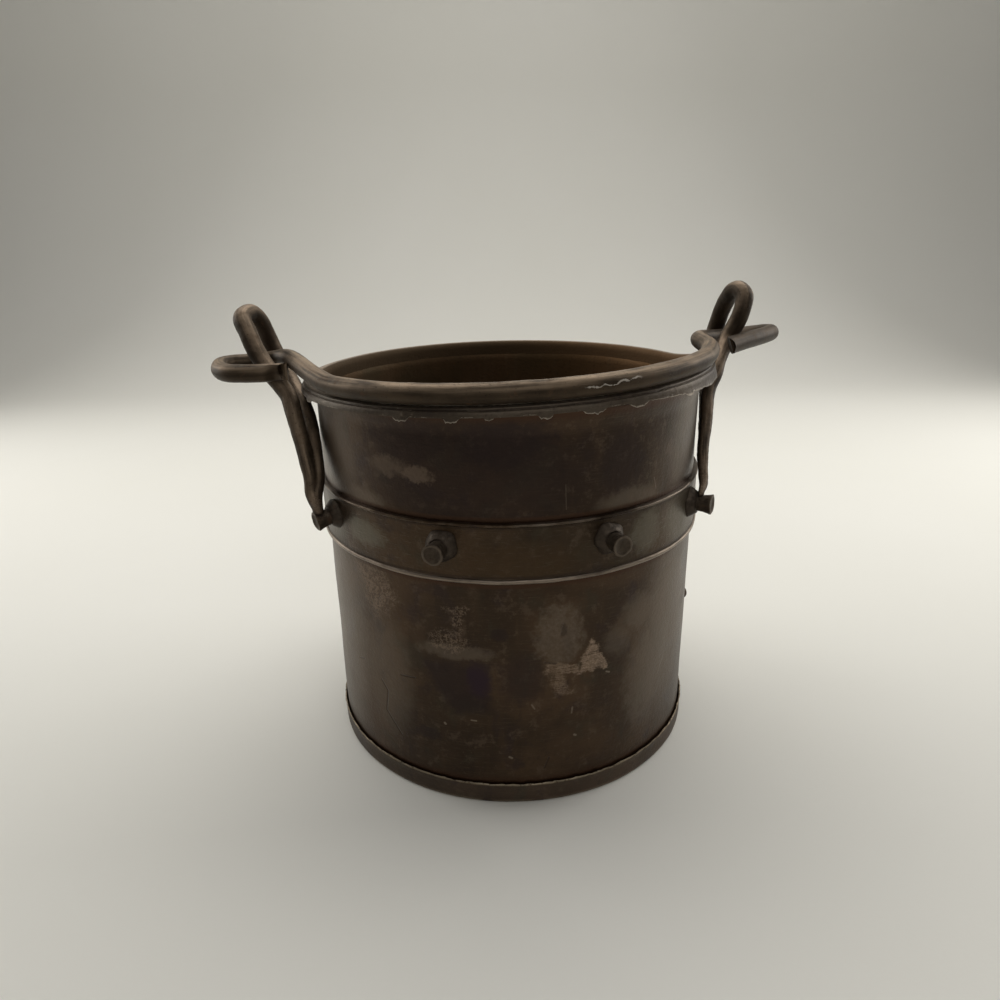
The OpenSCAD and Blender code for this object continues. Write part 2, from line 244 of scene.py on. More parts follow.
def turned(profile, steps, closed=False):
    """Spins a line of (radius, height) points once round the bucket's axis."""
    bm = bmesh.new()
    dots = [bm.verts.new((0.0, -r, z)) for r, z in profile]
    ends = [bm.edges.new(pair) for pair in zip(dots, dots[1:])]
    if closed:
        ends.append(bm.edges.new((dots[-1], dots[0])))
    long_ends = [e for e in ends if e.calc_length() > 0.004]
    for e in long_ends:
        bmesh.ops.subdivide_edges(bm, edges=[e], cuts=int(e.calc_length() / 0.0026))
    bmesh.ops.spin(bm, geom=bm.verts[:] + bm.edges[:], cent=(0, 0, 0), axis=(0, 0, 1),
                   angle=math.radians(360), steps=steps, use_merge=True)
    bmesh.ops.remove_doubles(bm, verts=bm.verts, dist=1e-6)
    bmesh.ops.recalc_face_normals(bm, faces=bm.faces)
    return bm


def knocked(bm, share=1.0):
    """Bends a turned sheet with the knocks in the wall, so that the sheets still lie on each other."""
    for v in bm.verts:
        if v.co.xy.length > 0.02:
            v.co += outward(v.co) * knock(v.co) * share


def round_wall(finish, at):
    """The azimuth in degrees and the height in millimetres of the surface."""
    axes = finish.node("ShaderNodeSeparateXYZ", {}, {0: at})
    turn = axes.maths("ARCTAN2", axes, axes.other(1) * -1.0) * (180.0 / math.pi)
    return turn, axes.other(2)


MM_PER_DEGREE = math.pi / 180.0 * 1000.0 * WALL_R


class Sheet:
    """The browned sheet's finish: clouds and runs, with marks laid over them by azimuth and height."""

    def __init__(self, name, shift=0.0):
        self.finish = f = Finish(name)
        self.at = at = f.place()
        self.turn, self.high = round_wall(f, at)
        moved = f.node("ShaderNodeVectorMath", {"operation": "ADD"}, {0: at, 1: (shift, 2 * shift, shift)})
        self.broad = f.cloud(moved, 60.0, 3.0, 0.5, 0.6)
        self.patches = f.cloud(moved, 24.0, 5.0, 0.6, 0.4)
        self.grain = f.cloud(moved, 2.2, 5.0, 0.6)
        self.specks = f.cloud(moved, 0.9, 2.0)
        self.ragged = f.cloud(moved, 8.0, 9.0, 0.70)
        wander = f.node("ShaderNodeTexNoise", {}, {
            "Vector": at, "Scale": 0.16, "Detail": 5.0, "Roughness": 0.65}, 1)
        shake = f.node("ShaderNodeSeparateColor", {}, {0: wander})
        self.across = self.turn * MM_PER_DEGREE + (shake - 0.5) * 9.0
        self.up = self.high + (shake.other(1) - 0.5) * 9.0
        down_run = f.node("ShaderNodeCombineXYZ", {}, {0: self.turn * 0.22, 1: self.high * 0.012, 2: shift})
        self.runs = f.cloud(down_run, 1.0, 3.0)
        level_run = f.node("ShaderNodeCombineXYZ", {}, {0: self.turn * 0.16, 1: self.high * 1.3, 2: shift})
        self.brushed = f.cloud(level_run, 1.0, 4.0, 0.6)

    def browned(self, deep, warm, olive, plum):
        """Colour of the bare patina: brown, with warmer, greener and purpler clouds and faint runs."""
        f = self.finish
        colour = f.blend(f.rise(self.broad, 0.35, 0.65), deep, warm)
        colour = f.blend(f.rise(self.patches, 0.52, 0.68) * 0.6, colour, olive)
        colour = f.blend(f.rise(self.patches, 0.46, 0.30) * 0.7, colour, plum)
        colour = f.blend(f.rise(self.runs, 0.50, 0.72) * 0.35, colour, warm)
        colour = f.blend(f.rise(self.brushed, 0.52, 0.74) * 0.16, colour, (0.16, 0.115, 0.078))
        colour = f.blend(f.rise(self.ragged, 0.53, 0.66) * 0.22, colour, (0.16, 0.115, 0.082))
        colour = f.blend(f.rise(self.ragged, 0.44, 0.32) * 0.35, colour, (0.022, 0.014, 0.010))
        return f.blend(f.rise(self.grain, 0.55, 0.78) * 0.16, colour, (0.15, 0.105, 0.070))

    def spot(self, azimuth, high, wide, tall, soft=0.5, torn=2.0):
        """An oval mark, given by its middle and its half width and half height in millimetres."""
        a = (self.across - azimuth * MM_PER_DEGREE) / wide
        b = (self.up - high) / tall
        reach = a * a + b * b + (self.ragged - 0.5) * torn
        return self.finish.rise(reach, 1.0 + soft, max(0.0, 1.0 - soft))

    def plate(self, corners, soft=1.5, torn=8.0):
        """A mark with straight sides. Its corners, as azimuth and height, run clockwise seen from outside."""
        inside = None
        dots = [(a * MM_PER_DEGREE, h) for a, h in corners]
        for (x0, z0), (x1, z1) in zip(dots, dots[1:] + dots[:1]):
            span = math.hypot(x1 - x0, z1 - z0)
            side = self.across * ((z1 - z0) / span) - self.up * ((x1 - x0) / span)
            side = side - (x0 * (z1 - z0) - z0 * (x1 - x0)) / span
            inside = side if inside is None else inside.maths("MINIMUM", inside, side)
        return self.finish.rise(inside + (self.ragged - 0.5) * torn, -soft, soft)

    def scratch(self, start, end, wide=0.5):
        """A straight scratch between two places, given as azimuth and height."""
        (x0, z0), (x1, z1) = ((a * MM_PER_DEGREE, h) for a, h in (start, end))
        dx, dz = x1 - x0, z1 - z0
        a, b = self.turn * MM_PER_DEGREE - x0, self.high - z0
        along = (a * dx + b * dz) / (dx * dx + dz * dz)
        along = along.maths("MINIMUM", along.maths("MAXIMUM", along, 0.0), 1.0)
        off = (a - along * dx) ** 2.0 + (b - along * dz) ** 2.0
        return self.finish.rise(off ** 0.5, wide + 0.35, wide * 0.3)

    def from_axis(self):
        """The way straight out from the bucket's axis to the surface."""
        flat = {0: self.at, 1: (1.0, 1.0, 0.0)}
        return self.finish.node("ShaderNodeVectorMath", {"operation": "MULTIPLY"}, flat)


def most(*masks):
    """The strongest of several masks."""
    strongest = masks[0]
    for mask in masks[1:]:
        strongest = strongest.maths("MAXIMUM", strongest, mask)
    return strongest


pan = turned([
    (0.0, 0.0), (PAN_R - 0.0020, 0.0), (PAN_R - 0.0008, 0.0004), (PAN_R - 0.0001, 0.0013), (PAN_R, 0.0024),
    (PAN_R, 0.0118), (PAN_R + 0.0003, 0.0132), (PAN_R + 0.0003, 0.0140), (PAN_R - 0.0001, 0.0145),
    (PAN_R - 0.0005, 0.0144), (PAN_R - 0.0007, 0.0138), (PAN_R - 0.0013, 0.0100), (PAN_R - 0.0013, 0.0030),
    (PAN_R - 0.0025, 0.0014), (0.0, 0.0014)], 360)
for v in pan.verts:
    lip = max(0.0, (v.co.z - 0.008) / 0.0065)
    way = v.co.normalized() * 26.0
    v.co.z += lip * (0.0007 * noise.noise(way) + 0.0003 * noise.noise(way * 4.0) - 0.0005)
    if lip:
        v.co += outward(v.co) * lip * 0.0004 * (noise.noise(way * 1.7 + Vector((5, 5, 5))) + 0.3)
    if v.co.xy.length < 0.1215:
        dent = noise.noise(v.co * 30.0)
        v.co.z += 0.0004 * (1.0 + dent) if v.co.z < 0.001 else 0.0003 * dent
knocked(pan, 0.6)

coat = Sheet("browned_pan", 40.0)
f = coat.finish
from_middle = f.node("ShaderNodeVectorMath", {"operation": "LENGTH"}, {0: coat.at}, "Value")
pan_colour = coat.browned(
    (0.052, 0.034, 0.021), (0.080, 0.051, 0.032), (0.058, 0.050, 0.033), (0.038, 0.025, 0.022))
lip_wear = f.rise(coat.high, 12.6, 14.2) * f.rise(coat.grain, 0.30, 0.50) * f.rise(from_middle, 120.0, 125.0)
foot_wear = f.rise(coat.high, 3.4, 0.6) * f.rise(coat.patches, 0.35, 0.55) * f.rise(from_middle, 122.0, 125.0)
inner_dirt = f.rise(from_middle, 123.0, 108.0)
pan_colour = f.blend(most(lip_wear, foot_wear * 0.5), pan_colour, (0.33, 0.27, 0.19))
damp = inner_dirt * f.rise(coat.patches, 0.42, 0.62) * 0.7
pan_colour = f.blend(damp, pan_colour, (0.085, 0.045, 0.022))
pan_colour = f.blend(inner_dirt * f.rise(coat.grain, 0.55, 0.75) * 0.5, pan_colour, (0.14, 0.085, 0.045))
pan_finish = f.done(
    pan_colour, coat.patches * 0.25 + 0.36 + inner_dirt * 0.25, 0.55 - inner_dirt * 0.4 + lip_wear * 0.3,
    coat.grain + coat.patches * 0.6, 0.00025)
base_pan = object_from("spun_pan", pan, pan_finish)
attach(base_pan, "root")
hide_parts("base_pan")

# ---- Wall ----
# One sheet rolled into a cylinder and flared at the mouth. Handling has left it brown-black, with plum and
# olive clouds, paler rubbed places, dried splashes, fine scratches, and a dark patch low on the front.
# Painted sheen lightens its sides, and painted shade darkens its seams and creases.
SHEET_T, WALL_FOOT, BODY_H = 0.0012, 0.0016, 0.2465
FLARE, FLARE_H = 0.0030, 0.0110
wall = turned([
    (WALL_R - SHEET_T, WALL_FOOT), (WALL_R, WALL_FOOT), (WALL_R, BODY_H - FLARE_H), (WALL_R + FLARE, BODY_H),
    (WALL_R + FLARE - SHEET_T, BODY_H), (WALL_R - SHEET_T, BODY_H - FLARE_H)], 300, closed=True)
knocked(wall)

coat = Sheet("browned_wall")
f = coat.finish
facing = {0: coat.from_axis(), 1: f.node("ShaderNodeNewGeometry", {}, {}, "Normal")}
outward_facing = f.node("ShaderNodeVectorMath", {"operation": "DOT_PRODUCT"}, facing, "Value")
outside = f.rise(outward_facing, -20.0, 20.0)
wall_colour = coat.browned(
    (0.034, 0.020, 0.0105), (0.064, 0.037, 0.019), (0.042, 0.032, 0.019), (0.028, 0.017, 0.015))
# Darker clouds under the mouth and low on the front, and the straight-edged dark patch.
dark = most(
    coat.spot(-26, 229, 30, 15, 0.9) * 0.75, coat.spot(-2, 229, 30, 15, 0.9) * 0.85,
    coat.spot(29, 213, 16, 20, 0.9) * 0.6, coat.spot(-10, 212, 68, 32, 0.9, 1.2) * 0.60,
    coat.plate([(-26, 95), (-7, 98), (-7, 66), (-17, 62), (-24, 82)], 4.0) * 0.75,
    coat.spot(2, 88, 14, 16, 0.8) * 0.6, coat.spot(-25.8, 43.6, 9, 5, 0.6) * 0.6,
    coat.spot(-4, 118, 5, 4, 0.7) * 0.6)
wall_colour = f.blend(dark, wall_colour, (0.022, 0.013, 0.012))
wall_colour = f.blend(coat.spot(-10, 86, 7, 11, 0.9, 1.0) * 0.8, wall_colour, (0.026, 0.013, 0.022))
# Paler places: painted sheen down the broad sides, rubbed and weathered patches with a mottled one among
# them, and a painted highlight on the band just over the hoop.
worn_and_lit = most(
    coat.spot(-62, 205, 30, 36, 0.9) * 0.50, coat.spot(-45, 189, 20, 8, 0.7) * 0.5,
    coat.spot(-60, 90, 30, 60, 0.9) * 0.55, coat.spot(12, 115, 13, 18, 0.8, 5.5) * (coat.grain * 0.9 + 0.05),
    coat.spot(-16, 104, 22, 5, 0.7, 3.0) * 0.45, coat.spot(33, 191, 22, 7, 0.8) * 0.45,
    coat.spot(38, 118, 15, 12, 0.9, 3.0) * 0.45, coat.spot(52, 100, 24, 60, 0.9) * 0.60,
    coat.spot(58, 215, 20, 30, 0.9) * 0.35, coat.spot(42, 70, 18, 34, 0.9, 3.0) * 0.6,
    coat.spot(-40, 75, 20, 40, 0.9) * 0.4, coat.spot(30, 104, 10, 10, 0.9, 3.0) * 0.35)
wall_colour = f.blend(worn_and_lit * (coat.patches * 0.8 + 0.5), wall_colour, (0.160, 0.126, 0.094))
# Dried splashes: a tan blot, a stippled fan under the hoop, small scabs, and the bright flag with its tail.
stipple = f.rise(coat.specks + (coat.grain - 0.5), 0.44, 0.62)
splash = most(
    coat.spot(-24.5, 211, 10, 4.5, 0.8, 6.0) * 0.45, coat.spot(-33, 214, 13, 5, 0.9, 6.0) * 0.35,
    coat.plate([(-50, 146), (-38, 147), (-34, 130), (-43, 113)], 5.0, 16.0) * (stipple * 0.65 + 0.2),
    coat.spot(-18, 111, 11, 7, 0.7, 4.0) * stipple * 0.6, coat.spot(-15, 123, 4, 8, 0.7, 4.0) * stipple * 0.6,
    coat.spot(-15, 132, 8, 2.5, 0.7, 3.0) * stipple * 0.5)
wall_colour = f.blend(splash * (coat.grain * 0.5 + 0.45), wall_colour, (0.25, 0.172, 0.112))
flag = most(
    coat.plate([(21.6, 110), (26.5, 87), (17, 87)], 1.0, 7.0),
    coat.plate([(9, 98), (18, 93), (17, 88), (9, 93)], 1.0, 6.0) * 0.7,
    coat.plate([(9, 96), (14, 93), (14.5, 76), (11, 74)], 2.0, 14.0) * 0.5)
flag = flag * (f.rise(coat.brushed, 0.34, 0.54) * 0.50 + stipple * 0.35 + 0.1)
wall_colour = f.blend(flag, wall_colour, (0.285, 0.198, 0.132))
# A few scratches, small rings and specks.
scratches = most(
    coat.scratch((13.3, 206), (13.5, 192), 0.15) * 0.25, coat.scratch((41, 200), (42, 193), 0.2) * 0.5,
    coat.scratch((-1.9, 33.2), (-1.3, 32.4), 0.8), coat.scratch((-12.4, 58.3), (-11, 58.2), 0.4),
    coat.scratch((-20.2, 53.6), (-20, 53), 0.8), coat.scratch((16.6, 44.8), (17, 44.2), 0.8),
    coat.scratch((4.4, 70), (5.2, 67), 0.5) * 0.6, coat.scratch((15.9, 65), (15.7, 61), 0.5) * 0.6,
    coat.scratch((26.2, 84), (27.2, 83), 0.5), coat.scratch((52, 73), (47.6, 60), 0.4) * 0.5)
wall_colour = f.blend(scratches * (coat.grain + 0.2) * 0.7, wall_colour, (0.32, 0.26, 0.20))
# Painted shade: dark lines laid along the creases and small dents, over their sunken bump.
creases = most(
    coat.scratch((-42.2, 69), (-39.8, 63), 0.6), coat.scratch((-39.8, 63), (-41, 48), 0.6),
    coat.scratch((-41, 48), (-35.4, 35), 0.6), coat.scratch((-53, 75), (-50, 77), 0.4),
    coat.scratch((-34, 79.2), (-29, 80.5), 0.4), coat.scratch((8, 24), (9.2, 31), 0.6),
    coat.scratch((8, 98), (11, 96.5), 0.5), coat.spot(12.9, 118, 2.2, 4.5, 0.5, 3.0))
creases = creases * (coat.grain * 1.2 + 0.1)
wall_colour = f.blend(creases * 0.7, wall_colour, (0.020, 0.012, 0.008))
# Rust-brown dirt and painted shade along the seams: in the crevice above the pan's lip, just above and below
# the hoop, and under the strip's edge at the mouth.
seam_dirt_and_shade = most(
    f.rise(coat.high + (coat.ragged - 0.5) * 6.0, 20.0, 15.0), f.rise(abs(coat.high - 187.3), 2.6, 0.6),
    f.rise(abs(coat.high - 149.0), 3.0, 1.0), f.rise(coat.high, 240.0, 245.0))
wall_colour = f.blend(outside * seam_dirt_and_shade * (coat.grain * 0.5 + 0.5), wall_colour, (0.050, 0.022, 0.010))
# Inside, the wall is a dull warm brown, greener at the left and painted lighter and more orange towards the
# right, as painted light. A pale tide line is left where water has stood and dried.
rightward = f.node("ShaderNodeSeparateXYZ", {}, {0: coat.at})
inside_colour = f.blend(f.rise(coat.broad, 0.38, 0.62), (0.082, 0.046, 0.020), (0.060, 0.040, 0.018))
inside_colour = f.blend(f.rise(rightward, -30.0, 90.0) * 0.7, inside_colour, (0.165, 0.086, 0.034))
inside_colour = f.blend(f.rise(coat.runs, 0.46, 0.76) * 0.3, inside_colour, (0.130, 0.085, 0.046))
inside_colour = f.blend(f.rise(coat.grain, 0.52, 0.72) * 0.4, inside_colour, (0.045, 0.024, 0.012))
tide = f.rise(abs(coat.up - 70.0), 5.0, 1.0) * f.rise(coat.patches, 0.40, 0.55)
inside_colour = f.blend(tide * 0.5, inside_colour, (0.15, 0.12, 0.085))
wall_colour = f.blend(outside, inside_colour, wall_colour)
wall_rough = coat.patches * 0.22 + 0.28 + splash * 0.25 + (1.0 - outside) * 0.15
wall_height = (coat.grain * 0.7 + coat.patches * 1.3 + coat.brushed * 0.15
               + splash * 0.4 + flag * 0.5 - creases * 1.2)
wall_finish = f.done(wall_colour, wall_rough, 0.75 - splash * 0.5 - flag * 0.5, wall_height, 0.00028)
wall_piece = object_from("rolled_wall", wall, wall_finish)
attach(wall_piece, "root")
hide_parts("wall")

# ---- Belly hoop ----
# A flat strip of the same metal sprung round the belly and held by the studs. Its lower edge is rolled into a
# thick bead and its upper edge into a thin one; both beads are rubbed pale where hands and walls touch them.
HOOP_Z, HOOP_W, HOOP_R = 0.1506, 0.0354, 0.1267
LOW_BEAD_R, TOP_BEAD_R = 0.0014, 0.00095
hoop_top = HOOP_Z + HOOP_W


def bead(height, radius):
    """The outline of a bead rolled along an edge of the hoop, from its bottom to its top."""
    return [(HOOP_R - 0.0003 + radius * math.cos(a), height + radius * math.sin(a))
            for a in (math.radians(t) for t in range(-90, 91, 20))]


hoop = turned([
    (WALL_R + 0.0001, HOOP_Z), *bead(HOOP_Z + LOW_BEAD_R, LOW_BEAD_R), (HOOP_R, HOOP_Z + 0.0029),
    (HOOP_R, hoop_top - 0.0020), *bead(hoop_top - TOP_BEAD_R, TOP_BEAD_R), (WALL_R + 0.0001, hoop_top)],
    360, closed=True)
for v in hoop.verts:
    way = outward(v.co) * 3.2
    v.co.z += 0.00045 * noise.noise(way) + 0.00022 * noise.noise(way * 4.0)
    if v.co.xy.length > 0.1262:
        v.co += outward(v.co) * 0.00018 * noise.noise(v.co * 70.0)
knocked(hoop)

coat = Sheet("browned_hoop", 90.0)
f = coat.finish
hoop_colour = coat.browned(
    (0.036, 0.022, 0.011), (0.060, 0.035, 0.017), (0.042, 0.033, 0.019), (0.028, 0.018, 0.015))
hoop_pale = most(
    coat.spot(-43, 170, 16, 8, 0.6, 3.0) * 0.6, coat.spot(-62, 168, 20, 14, 0.9) * 0.5,
    coat.spot(38, 170, 12, 12, 0.8, 4.0) * 0.55, coat.spot(55, 170, 22, 16, 0.9) * 0.5)
hoop_colour = f.blend(hoop_pale, hoop_colour, (0.135, 0.120, 0.088))
hoop_colour = f.blend(coat.spot(2, 162, 30, 12, 0.9, 1.5) * 0.5, hoop_colour, (0.062, 0.034, 0.013))
level_smear = f.node("ShaderNodeCombineXYZ", {}, {0: coat.turn * 0.3, 1: coat.high * 0.9})
smear = f.rise(f.cloud(level_smear, 1.0, 4.0), 0.55, 0.72)
hoop_colour = f.blend(smear * 0.25, hoop_colour, (0.13, 0.100, 0.070))
low_edge = f.rise(abs(coat.high - 152.0), 1.9, 0.9) * (f.rise(coat.patches, 0.32, 0.55) * 0.5 + 0.5)
top_edge = f.rise(coat.high, 184.2, 185.0) * f.rise(coat.patches, 0.40, 0.60) * 0.45
beads = most(low_edge, top_edge)
hoop_colour = f.blend(beads * 0.80, hoop_colour, (0.30, 0.245, 0.195))
# Darker lines on the hoop's face beside both beads.
bead_side_dark_lines = most(f.rise(abs(coat.high - 154.4), 1.3, 0.3), f.rise(abs(coat.high - 183.4), 1.0, 0.2) * 0.8)
hoop_colour = f.blend(bead_side_dark_lines * (coat.grain * 0.6 + 0.3), hoop_colour, (0.026, 0.016, 0.010))
hoop_finish = f.done(
    hoop_colour, coat.patches * 0.2 + 0.30 - beads * 0.04, 0.72 + beads * 0.15,
    coat.grain * 0.8 + coat.patches + smear * 0.3, 0.00028)
hoop_piece = object_from("studded_hoop", hoop, hoop_finish, 50.0)
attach(hoop_piece, "root")
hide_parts("belly_hoop")

# ---- Rim strip ----
# A thin paler strip folded over the wall's mouth to save hands from its edge. The bent rod lies on it in
# front, and its outer edge there is cracked and torn into small hanging tabs.
ROD_R, RIM_R, RIM_Z, ROD_RISE = 0.0058, 0.1299, 0.2582, 0.033
FOLD_R, FOLD_MID, BACK_FOLD_Z = 0.0059, 0.1278, 0.2496
STRIP_T, OUTER_SKIRT, INNER_SKIRT = 0.0007, 0.0040, 0.0065
# Each tab's azimuth and width in degrees, its length in millimetres, and where across it the tip lies.
TABS = ((-25.5, 4.8, 2.7, 0.6), (-13.0, 4.2, 2.9, 0.3), (-4.8, 2.8, 1.9, 0.5), (7.5, 4.0, 2.6, 0.5),
        (18.7, 6.8, 2.7, 0.45), (30.0, 6.2, 2.3, 0.55), (-62.0, 5.0, 2.2, 0.5), (48.0, 4.0, 1.6, 0.5),
        (-120.0, 5.0, 1.8, 0.5), (140.0, 6.0, 2.0, 0.5), (-165.0, 4.0, 1.6, 0.5))


def rod_height(x):
    """Height of the rim rod's middle: it rises a little from left to right."""
    return RIM_Z + ROD_RISE * x


def eased(share):
    """A share made 0 to 1, leaving and arriving gently."""
    share = min(1.0, max(0.0, share))
    return share * share * (3.0 - 2.0 * share)


def fold_top(azimuth):
    """Height of the strip's fold: pressed up under the rod in front, and level round the back."""
    under = rod_height(RIM_R * math.sin(math.radians(azimuth))) - ROD_R
    return BACK_FOLD_Z + (under - BACK_FOLD_Z) * eased((112.0 - abs(azimuth)) / 34.0)


def snugness(azimuth):
    """How closely the strip is pressed on the wall's edge: not under the rod, and fully round the back."""
    return eased((abs(azimuth) - 84.0) / 30.0)


def torn_edge(azimuth):
    """Height of the strip's outer edge, with its tabs, nicks and small waves."""
    top = fold_top(azimuth) - FOLD_R
    edge = top + min(0.0006, 0.2464 + 0.003 * max(0.0, math.cos(math.radians(1.4 * azimuth))) - top)
    for middle, wide, long, lean in TABS:
        t = (azimuth - middle) / wide + 0.5
        if 0.0 < t < 1.0:
            slope = min(t / lean, (1.0 - t) / (1.0 - lean))
            ragged = 1.0 + 0.35 * noise.noise(Vector((azimuth * 1.9, middle, 0.0)))
            edge -= 0.001 * long * ragged * min(1.0, 1.9 * slope)
    edge += 0.00035 * noise.noise(Vector((azimuth * 0.45, 2.0, 0.0)))
    return edge + 0.00022 * noise.noise(Vector((azimuth * 2.1, 9.0, 0.0)))


fold = [(FOLD_MID + FOLD_R, -OUTER_SKIRT), (FOLD_MID + FOLD_R, -0.5 * OUTER_SKIRT)]
fold += [(FOLD_MID + FOLD_R * math.cos(math.radians(t)), FOLD_R * math.sin(math.radians(t)))
         for t in (*range(0, 75, 5), *range(75, 181, 15))]
fold += [(FOLD_MID - FOLD_R, -0.0030), (FOLD_MID - FOLD_R, -INNER_SKIRT)]
strip = turned(fold, 900)
torn = strip.verts.layers.float.new("torn")
crease = strip.verts.layers.float.new("crease")
for v in strip.verts:
    azimuth = math.degrees(math.atan2(v.co.x, -v.co.y))
    out = outward(v.co)
    middle = fold_top(azimuth) - FOLD_R
    height = v.co.z
    if height < -0.0001 and v.co.xy.length > FOLD_MID:
        # The outer skirt, drawn down to its torn edge.
        down = height / -OUTER_SKIRT
        v.co.z = middle + (torn_edge(azimuth) - middle) * down
        flare = 0.0006 * noise.noise(out * 9.0) + 0.0008 * (middle - torn_edge(azimuth)) / 0.003
        v.co += out * (flare - 0.0002 + 0.0004 * noise.noise(out * 90.0)) * down
        v[torn] = max(0.0, 2.0 * down - 1.0)
    elif height < -0.0001:
        # The inner skirt, pressed towards the wall.
        v.co.z = middle + height * 0.9 + 0.0004 * noise.noise(out * 14.0)
        v.co += out * 0.0011 * height / -INNER_SKIRT * (1.0 - snugness(azimuth))
    else:
        # The fold between them, with a crease beaten along its outer shoulder.
        round_fold = Vector((v.co.xy.length - FOLD_MID, height))
        slope = math.degrees(math.atan2(round_fold.y, round_fold.x))
        v[crease] = math.exp(-((slope - 40.0 - 5.0 * noise.noise(out * 7.0)) / 5.0) ** 2)
        v.co.z = middle + height * (1.0 - 0.07 * v[crease])
        v.co -= out * (0.00055 * v[crease] + 0.00012
                       - 0.00014 * noise.noise(out * 22.0 + Vector((0, 0, height * 200.0))))
    snug = snugness(azimuth)
    v.co -= out * snug * (0.0010 + 0.45 * (v.co.xy.length - FOLD_MID))
    v.co.z -= snug * 0.25 * max(0.0, v.co.z - middle)
bmesh.ops.solidify(strip, geom=strip.faces[:], thickness=STRIP_T)

coat = Sheet("worn_strip", 20.0)
f = coat.finish
edge_mark = f.node("ShaderNodeAttribute", {"attribute_name": "torn"}, {}, "Fac")
crease_mark = f.node("ShaderNodeAttribute", {"attribute_name": "crease"}, {}, "Fac")
strip_colour = coat.browned(
    (0.060, 0.044, 0.030), (0.088, 0.066, 0.046), (0.070, 0.059, 0.041), (0.044, 0.033, 0.026))
strip_colour = f.blend(f.rise(coat.patches, 0.46, 0.66) * 0.3, strip_colour, (0.17, 0.138, 0.106))
strip_colour = f.blend(f.rise(coat.grain, 0.45, 0.28) * 0.5, strip_colour, (0.034, 0.021, 0.013))
# Painted shade darkens the beaten crease along the fold's shoulder.
strip_colour = f.blend(crease_mark * 0.70, strip_colour, (0.020, 0.012, 0.008))
strip_colour = f.blend(edge_mark * 0.45, strip_colour, (0.19, 0.158, 0.124))
bright_edge = f.rise(edge_mark + (coat.grain - 0.5) * 1.6 + (coat.ragged - 0.5) * 1.5, 0.25, 0.75)
strip_colour = f.blend(bright_edge * 0.70, strip_colour, (0.42, 0.36, 0.29))
strip_colour = f.blend(coat.spot(74, 250, 46, 14, 0.9, 1.0) * 0.6, strip_colour, (0.028, 0.019, 0.013))
# Round the inside it is as brown and dull as the wall under it, painted lighter and more orange towards the
# right as painted light, up to a thin painted highlight along its crown, where it faces up.
strip_out = f.node("ShaderNodeVectorMath", {"operation": "LENGTH"}, {0: coat.from_axis()}, "Value")
inward = f.rise(strip_out, 127.0, 124.5)
rightward = f.node("ShaderNodeSeparateXYZ", {}, {0: coat.at})
strip_inside_with_painted_light = f.blend(coat.broad, (0.076, 0.043, 0.019), (0.058, 0.038, 0.017))
strip_inside_with_painted_light = f.blend(f.rise(rightward, -30.0, 90.0) * 0.7, strip_inside_with_painted_light, (0.150, 0.080, 0.033))
strip_colour = f.blend(inward, strip_colour, strip_inside_with_painted_light)
strip_face = f.node("ShaderNodeNewGeometry", {}, {}, "Normal")
strip_up = f.node("ShaderNodeSeparateXYZ", {}, {0: strip_face}).other(2)
crown_highlight = f.rise(strip_up, 0.80, 0.98) * (f.rise(coat.grain, 0.30, 0.60) * 0.4 + 0.5)
strip_colour = f.blend(crown_highlight, strip_colour, (0.34, 0.270, 0.205))
strip_finish = f.done(
    strip_colour, coat.patches * 0.22 + 0.34 + inward * 0.25, 0.65 - bright_edge * 0.2,
    coat.grain * 0.9 + coat.patches, 0.00030)
strip_piece = object_from("torn_strip", strip, strip_finish, 60.0)
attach(strip_piece, "root")
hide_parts("rim_strip")

# ---- Rim rod ----
# One iron rod as thick as a finger, bent cold: a loop out to the left, the front half of the rim, and a loop
# out to the right. Its top is worn light and painted lighter as painted light from above, its sides are
# brown, and its two cut ends are left raw.
LEFT_EAR, RIGHT_EAR = -88.0, 95.0


def beside(azimuth, across, out, height):
    """A place beside the wall: out from its face, across from an azimuth towards the back. Millimetres in."""
    radius = WALL_R + 0.001 * out
    side = -1.0 if azimuth < 0 else 1.0
    turn = math.radians(azimuth) + side * math.asin(0.001 * across / radius)
    return Vector((radius * math.sin(turn), -radius * math.cos(turn), height))


def by_rim(azimuth, across, out, above):
    """A place beside the wall, with its height given in millimetres above the rim rod's."""
    at = beside(azimuth, across, out, 0.0)
    at.z = rod_height(at.x) + 0.001 * above
    return at


def flowing(marks, step):
    """A smooth line through (place, radius) marks, cut into even steps."""
    before = (marks[0][0] * 2 - marks[1][0], marks[0][1])
    after = (marks[-1][0] * 2 - marks[-2][0], marks[-1][1])
    marks = [before, *marks, after]
    line = []
    for (a, _), (b, rb), (c, rc), (d, _) in zip(marks, marks[1:], marks[2:], marks[3:]):
        cuts = max(2, round((c - b).length / step))
        for k in range(cuts):
            t = k / cuts
            bend, turn = 2 * a - 5 * b + 4 * c - d, 3 * b - a - 3 * c + d
            line.append((0.5 * (2 * b + (c - a) * t + bend * t * t + turn * t ** 3), rb + (rc - rb) * t))
    return line + [marks[-2]]


